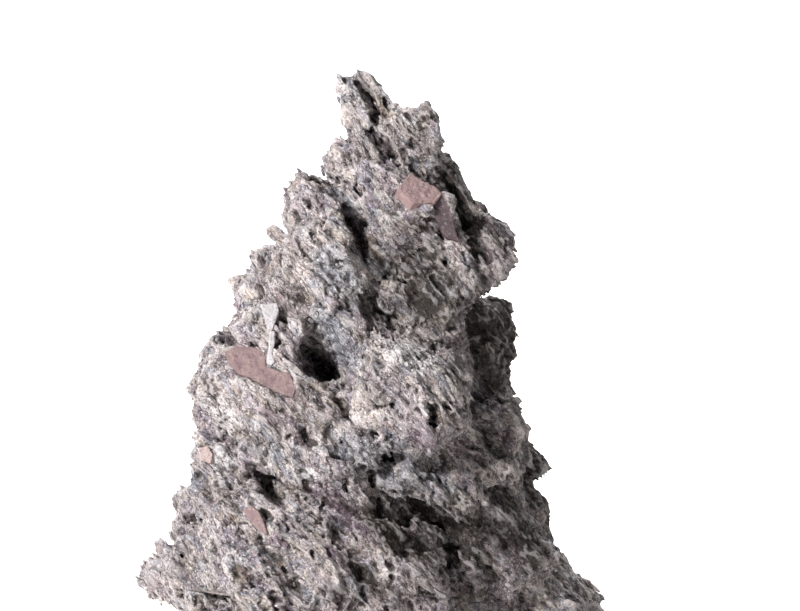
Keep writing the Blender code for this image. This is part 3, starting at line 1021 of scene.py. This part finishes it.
# %% Slabs
def slab_of(source, name, low, high):
    """The part of source between two heights, closed."""
    slab = new_object(name, source.data.copy())
    with editing(slab):
        bpy.ops.mesh.select_mode(type="EDGE")
        for height, upward in ((low, False), (high, True)):
            if height is None:
                continue
            bpy.ops.mesh.select_all(action="SELECT")
            bpy.ops.mesh.bisect(
                plane_co=(0, 0, height), plane_no=(0, 0, 1), clear_outer=upward, clear_inner=not upward
            )
            bpy.ops.mesh.remove_doubles(threshold=0.02 * MM)
            bpy.ops.mesh.select_non_manifold(
                extend=False, use_wire=False, use_boundary=True, use_multi_face=False,
                use_non_contiguous=False, use_verts=False,
            )
            bpy.ops.mesh.fill(use_beauty=False)
    return slab


heights = np.quantile(points_of(matrix)[:, 2], [part / SLABS for part in range(1, SLABS)])
heights = [None] + [float(height) for height in heights] + [None]
slabs = [
    slab_of(matrix, f"rock_matrix_{part + 1}", heights[part], heights[part + 1]) for part in range(SLABS)
]
delete([matrix, filled])
for slab in slabs:
    print(slab.name, "has", triangles(slab), "triangles")

# %% [markdown]
# ## Materials
#
# One recipe serves the matrix and the grains. Colour comes in layers: broad clouds of pale and cool stone;
# cells stretched along the grain that give each block and flake its tone; the painted patches, some of them
# painted shade and light; small cells and pits for single grains, a few near black and a few white; then the
# dark patches, mostly painted shade, painted shade along the cells' borders, and in the matrix painted shade
# in the hollows and a painted highlight on the edges. The cells' borders also drive the bump, so that a
# painted dark gap is where the relief sinks. Roughness stays high but for a few crystals.

# %% Recipes
PALE, MID, COOL = linear("#D0C5C4"), linear("#9C9193"), linear("#7F848F")
DARK, SHADE, BLACK = linear("#57504F"), linear("#68625C"), linear("#1F1B1A")
CREAM, SLATE, BROWN = linear("#C2B8A5"), linear("#767F93"), linear("#85776E")
PINK, MAUVE = linear("#9B8584"), linear("#796473")
OCHRE, WHITE, HOLLOW_SHADE = linear("#6F5A42"), linear("#DDDADA"), linear("#2A2420")
# Size across the grain in mm and stretch of the cells that the colours and the bump use.
BLOCK, FLAKE, SMALL, TINY = BREAKS[0][:2], BREAKS[1][:2], (0.7, 2.2), (0.38, 1.3)


def mix(tree, factor, one, other, blend="MIX"):
    """A colour mix; each argument is a socket or a value."""
    made = node(tree, "ShaderNodeMix", {"data_type": "RGBA", "blend_type": blend})
    for index, value in ((0, factor), (6, one), (7, other)):
        feed(tree, made.inputs[index], value)
    return made.outputs[2]


def tinted(tree, colour, tints):
    """Lays tints over a colour. Each is (value, low, high, most, tint): low shows none, high the most."""
    for value, low, high, most, tint in tints:
        colour = mix(tree, step(tree, value, low, high, 0, most), colour, tint)
    return colour


def noise(tree, scale_mm, place, detail=3.0, roughness=0.6, stretch=1.0):
    return node(
        tree, "ShaderNodeTexNoise", {"Scale": 1.0, "Detail": detail, "Roughness": roughness},
        {"Vector": in_grain(tree, place, scale_mm, stretch)},
    ).outputs["Fac"]


def one_of(tree, cell, channel=0):
    """A random number for each cell, from a channel of its random colour."""
    return node(tree, "ShaderNodeSeparateColor", None, {0: cell.outputs["Color"]}).outputs[channel]


def redrawn(tree, number, times_over):
    """Another random number, from the later digits of this one."""
    return maths(tree, "FRACT", times(tree, number, times_over))


def amount(tree, name):
    return node(tree, "ShaderNodeAttribute", {"attribute_name": name}).outputs["Fac"]


def frayed(tree, name, fray, most):
    """How much of a painted kind shows: its amount, with a border broken by noise."""
    painted = amount(tree, name)
    return times(tree, step(tree, plus(tree, painted, fray), 0.35, 0.6, 0, most), painted)


def new_material(name):
    """A material, its nodes and its shader."""
    material = bpy.data.materials.new(name)
    material.use_nodes = True
    return material, material.node_tree, material.node_tree.nodes["Principled BSDF"]


def finish_stone(tree, shader, colour, roughness, height, strength, distance_mm):
    settings = {"Strength": strength, "Distance": distance_mm * MM}
    bump = node(tree, "ShaderNodeBump", settings, {"Height": height}).outputs["Normal"]
    for name, source in (("Normal", bump), ("Base Color", colour), ("Roughness", roughness)):
        tree.links.new(source, shader.inputs[name])


def breccia(name, is_grain):
    """Pressed fragments in a pale rose to grey matrix. Each grain takes its tone from its own number."""
    material, tree, shader = new_material(name)
    place = node(tree, "ShaderNodeTexCoord").outputs["Object"]
    grain_place = bent(tree, place)
    broad = noise(tree, 16, place, 3)
    medium = noise(tree, 5, place, 4, stretch=1.8)
    pits = noise(tree, 0.35, place, 2)
    flakes = cells(tree, grain_place, *FLAKE)
    small = cells(tree, grain_place, *SMALL)
    gaps = cells(tree, grain_place, *FLAKE, "DISTANCE_TO_EDGE").outputs["Distance"]
    small_gaps = cells(tree, grain_place, *SMALL, "DISTANCE_TO_EDGE").outputs["Distance"]
    block_hue = one_of(tree, cells(tree, grain_place, *BLOCK), 1)
    flake_tone, flake_hue = one_of(tree, flakes), one_of(tree, flakes, 1)
    small_tone = one_of(tree, small)
    tiny_tone = one_of(tree, cells(tree, grain_place, *TINY))

    colour = tinted(tree, PALE, [
        (broad, 0.42, 0.6, 1, MID),
        (medium, 0.5, 0.68, 0.8, COOL),
        (flake_tone, 0.7, 0.95, 0.5, DARK),
        (flake_tone, 0.16, 0.04, 0.35, WHITE),
        (redrawn(tree, flake_tone, 7), 0.75, 0.9, 0.4, PINK),
        (flake_hue, 0.8, 0.9, 0.35, CREAM),
        (flake_hue, 0.32, 0.18, 0.5, SLATE),
        (block_hue, 0.7, 0.85, 0.45, MAUVE),
        (block_hue, 0.34, 0.2, 0.4, BROWN),
    ])
    if is_grain:
        tone = amount(tree, "tone")
        colour = tinted(tree, colour, [
            (tone, 0.72, 0.98, 0.55, DARK),
            (tone, 0.14, 0.0, 0.5, WHITE),
            (redrawn(tree, tone, 9), 0.85, 0.95, 0.4, MAUVE),
        ])
    fray = times(tree, minus(tree, medium, 0.5), 1.2)
    fray = plus(tree, fray, times(tree, minus(tree, small_tone, 0.5), 0.3))
    for kind, most, tint in (
        ("cool", 0.85, COOL), ("pink", 1.0, MAUVE), ("ochre", 0.9, OCHRE), ("white", 0.95, WHITE),
    ):
        colour = mix(tree, frayed(tree, kind, fray, most), colour, tint)
    colour = tinted(tree, colour, [
        (small_tone, 0.7, 0.98, 0.5, DARK),
        (small_tone, 0.16, 0.02, 0.4, WHITE),
        (tiny_tone, 0.84, 0.95, 0.65, BLACK),
        (tiny_tone, 0.12, 0.04, 0.6, WHITE),
        (pits, 0.57, 0.68, 0.8, DARK),
        (pits, 0.43, 0.32, 0.5, WHITE),
    ])
    # The dark patches are multiplied in as SHADE: partly the stone's dark rock, mostly painted shade. On the
    # far side, noise clouds add a darker tone of the stone.
    dark = times(tree, amount(tree, "dark"), plus(tree, fray, 1.0))
    behind = node(tree, "ShaderNodeSeparateXYZ", None, {0: place}).outputs[1]
    far_clouds = step(tree, noise(tree, 22, place, 3), 0.5, 0.62)
    dark = plus(tree, dark, times(tree, step(tree, behind, 0, 20 * MM, 0, 0.6), far_clouds))
    colour = mix(tree, dark, colour, SHADE, "MULTIPLY")
    # Painted shade: the borders of the flake and small cells, where the relief sinks into crevices, are
    # darkened toward black.
    gap_shade = plus(tree, step(tree, gaps, 0.07, 0.0, 0, 0.6), step(tree, small_gaps, 0.10, 0.0, 0, 0.5))
    gap_shade = times(tree, gap_shade, step(tree, noise(tree, 4, place, 2), 0.42, 0.6, 0.15, 1))
    colour = mix(tree, gap_shade, colour, BLACK)
    # Painted shade and highlight: in the matrix the hollows are darkened to near black and the edges made
    # paler, by how far each point lies under the blurred skin.
    if not is_grain:
        hollow = amount(tree, "hollow")
        colour = tinted(tree, colour, [(hollow, 0.44, 0.3, 0.2, WHITE), (hollow, 0.55, 0.8, 0.85, HOLLOW_SHADE)])

    height = 0.0
    for value, share in (
        (step(tree, gaps, 0.0, 0.25), 0.22),
        (step(tree, small_gaps, 0.0, 0.3), 0.12),
        (small_tone, 0.12),
        (facets(tree, grain_place, flakes, *FLAKE), 0.8),
        (facets(tree, grain_place, small, *SMALL), 0.8),
        (tiny_tone, 0.08),
        (noise(tree, 0.5, place, 4, 0.7), 0.38),
    ):
        height = plus(tree, height, times(tree, value, share))
    roughness = step(tree, tiny_tone, 0.02, 0.10, 0.3, 0.85)
    finish_stone(tree, shader, colour, roughness, height, strength=0.9, distance_mm=1.0)
    shader.inputs["Specular IOR Level"].default_value = 0.4
    return material


def clast_stone(name, main, second):
    """Fine-grained rock: nearly even, with faint clouds and a few dark grains."""
    material, tree, shader = new_material(name)
    place = node(tree, "ShaderNodeTexCoord").outputs["Object"]
    specks = one_of(tree, cells(tree, place, 0.4, 1.2))
    edge = noise(tree, 1.2, place, 5, 0.7)
    colour = tinted(tree, linear(main), [
        (noise(tree, 3.0, place, 4), 0.4, 0.65, 1, linear(second)),
        (specks, 0.85, 0.97, 0.45, DARK),
        (specks, 0.12, 0.02, 0.12, WHITE),
        (edge, 0.6, 0.75, 0.6, MID),
    ])
    roughness = step(tree, edge, 0.3, 0.7, 0.6, 0.85)
    height = noise(tree, 0.6, place, 5, 0.7)
    finish_stone(tree, shader, colour, roughness, height, strength=0.8, distance_mm=0.35)
    return material


matrix_stone = breccia("breccia_matrix", False)
grain_stone = breccia("breccia_grains", True)
pink_stone = clast_stone("pink_siltstone", "#97807F", "#8A7373")
rose_stone = clast_stone("rose_siltstone", "#85716F", "#776164")
pale_stone = clast_stone("pale_siltstone", "#AE9C99", "#A08D8C")
mauve_stone = clast_stone("mauve_siltstone", "#45383D", "#524348")
quartz_stone = clast_stone("milky_quartz", "#B8B4B7", "#A19DA1")
CLAST_STONES = {
    "rock_clast_top": pink_stone, "rock_clast_top_side": mauve_stone, "rock_clast_left": rose_stone,
    "rock_clast_low": rose_stone, "rock_clast_left_foot": pale_stone, "rock_quartz": quartz_stone,
    "rock_quartz_vein": quartz_stone,
}


def dress(obj, material):
    obj.data.materials.clear()
    obj.data.materials.append(material)
    obj.data.polygons.foreach_set("use_smooth", [False] * len(obj.data.polygons))
    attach(obj, "root")


for slab in slabs:
    dress(slab, matrix_stone)
    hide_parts("rock")
dress(grains, grain_stone)
for clast, _, _ in clasts:
    dress(clast, CLAST_STONES[clast.name])
print(len(slabs) + len(clasts) + 1, "pieces are dressed")

# %% [markdown]
# ## Studio
#
# The stone stands on plain pale paper before a white wall. One strong, small lamp at the upper left gives the
# bright face and the dark right flank; a weak, wide one opposite keeps the shadows readable. The wall is
# narrow and far away, so that it whitens the picture without lighting the stone's shaded side.

# %% Floor, wall and lamps
bpy.ops.object.select_all(action="DESELECT")
bpy.ops.mesh.primitive_plane_add(size=8, location=(0, 0, 0))
floor = bpy.context.object
floor.name = "studio_floor"
paper, _, paper_shader = new_material("pale_paper")
paper_shader.inputs["Base Color"].default_value = linear("#E6E3E0")
paper_shader.inputs["Roughness"].default_value = 0.9
floor.data.materials.append(paper)


def area_light(name, place_mm, aim_mm, size_mm, watts, colour, spread_deg=180):
    light = bpy.data.objects.new(name, bpy.data.lights.new(name, "AREA"))
    light.data.shape = "DISK"
    light.data.size = size_mm * MM
    light.data.energy = watts
    light.data.color = linear(colour)[:3]
    light.data.spread = math.radians(spread_deg)
    light.location = Vector(place_mm) * MM
    light.rotation_mode = "QUATERNION"
    light.rotation_quaternion = (Vector(aim_mm) * MM - light.location).to_track_quat("-Z", "Y")
    SCENE.collection.objects.link(light)


area_light("key", (-680, -720, 600), (0, 0, 100), 200, 23, "#FFFDFC")
area_light("fill", (700, -1100, 500), (0, 0, 90), 900, 0.45, "#F4F6FF")
area_light("backdrop_light", (0, 1100, 1200), (0, 900, 0), 900, 40, "#FFFFFF", 100)
bpy.ops.object.select_all(action="DESELECT")
bpy.ops.mesh.primitive_plane_add(size=1, location=(0, 1.9, 0.45), rotation=(math.pi / 2, 0, 0))
wall = bpy.context.object
wall.name = "studio_wall"
wall.scale = (1.6, 1.0, 1.0)
lit_wall, _, wall_shader = new_material("lit_white_wall")
wall_shader.inputs["Emission Color"].default_value = (1, 1, 1, 1)
wall_shader.inputs["Emission Strength"].default_value = 1.0
wall.data.materials.append(lit_wall)
world = bpy.data.worlds.new("studio")
SCENE.world = world
world.use_nodes = True
sky = world.node_tree.nodes["Background"]
sky.inputs["Color"].default_value = (1, 1, 1, 1)
sky.inputs["Strength"].default_value = 0.03
SCENE.view_settings.view_transform = "Standard"
